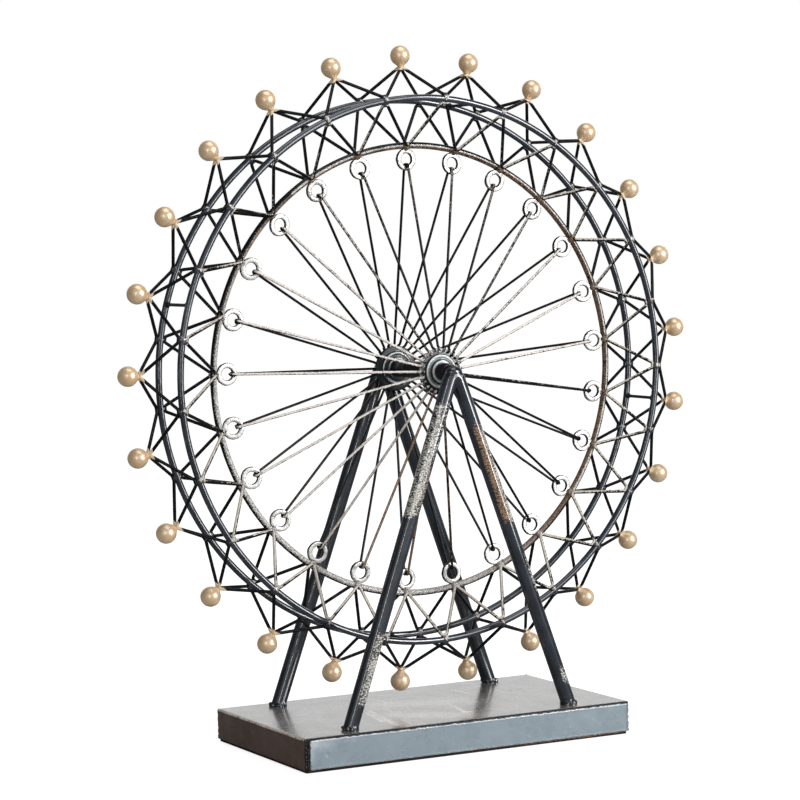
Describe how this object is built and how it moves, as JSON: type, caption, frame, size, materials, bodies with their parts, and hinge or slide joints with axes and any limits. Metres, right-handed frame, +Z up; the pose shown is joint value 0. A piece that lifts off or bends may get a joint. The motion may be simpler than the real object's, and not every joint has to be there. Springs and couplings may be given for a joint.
{
  "type": "ferris wheel ornament",
  "caption": "Table-top ferris wheel in black wire and rod: a wheel with gold balls on its rim turns by hand on an axle between two A-frames on a box base.",
  "frame": {"origin": "on the surface it stands on, under the middle of the base", "axes": "+Z up, the axle along Y with -Y the front, X along the base"},
  "size_m": [0.391, 0.121, 0.4216],
  "materials": {
    "base_sheet": "glossy blue-grey enamel, scuffed on top",
    "base_board": "black painted board",
    "black_steel": "black with a blue-grey sheen",
    "worn_flange": "black rubbed back to grey steel",
    "worn_leg_steel": "black rubbed back to cream and bronze",
    "hoop_wire": "black with a blue-grey sheen",
    "bronzed_wire": "black rubbed back to bronze",
    "zigzag_wire": "black, rubbed to beige in places",
    "black_wire": "black",
    "silver_steel": "worn bright steel",
    "spoke_wire": "black, rubbed to beige",
    "gold_ball": "satin champagne gold paint"
  },
  "bodies": {
    "stand": {"base_cover": "base_sheet", "base_board": "base_board", "leg_front_left": "worn_leg_steel", "leg_front_right": "worn_leg_steel", "leg_back_left": "worn_leg_steel", "leg_back_right": "worn_leg_steel", "axle_rod": "black_steel"},
    "wheel": {"hub_tube": "black_steel", "front_flange": "worn_flange", "back_flange": "worn_flange", "outer_hoop_front": "hoop_wire", "outer_hoop_back": "hoop_wire", "inner_hoop": "bronzed_wire", "outer_zigzag_front": "zigzag_wire", "outer_zigzag_back": "zigzag_wire", "inner_zigzag_front": "zigzag_wire", "inner_zigzag_back": "zigzag_wire", "hoop_struts": "black_wire", "eyelets": "silver_steel", "spokes": "spoke_wire", "ball_01": "gold_ball", "ball_02": "gold_ball", "ball_03": "gold_ball", "ball_04": "gold_ball", "ball_05": "gold_ball", "ball_06": "gold_ball", "ball_07": "gold_ball", "ball_08": "gold_ball", "ball_09": "gold_ball", "ball_10": "gold_ball", "ball_11": "gold_ball", "ball_12": "gold_ball", "ball_13": "gold_ball", "ball_14": "gold_ball", "ball_15": "gold_ball", "ball_16": "gold_ball", "ball_17": "gold_ball", "ball_18": "gold_ball", "ball_19": "gold_ball", "ball_20": "gold_ball", "ball_21": "gold_ball", "ball_22": "gold_ball", "ball_23": "gold_ball", "ball_24": "gold_ball", "ball_25": "gold_ball"}
  },
  "joints": [
    {"name": "wheel_spin", "type": "hinge", "parent": "stand", "child": "wheel", "pos_m": [0, 0, 0.2257], "axis": [0, 1, 0], "continuous": true}
  ]
}
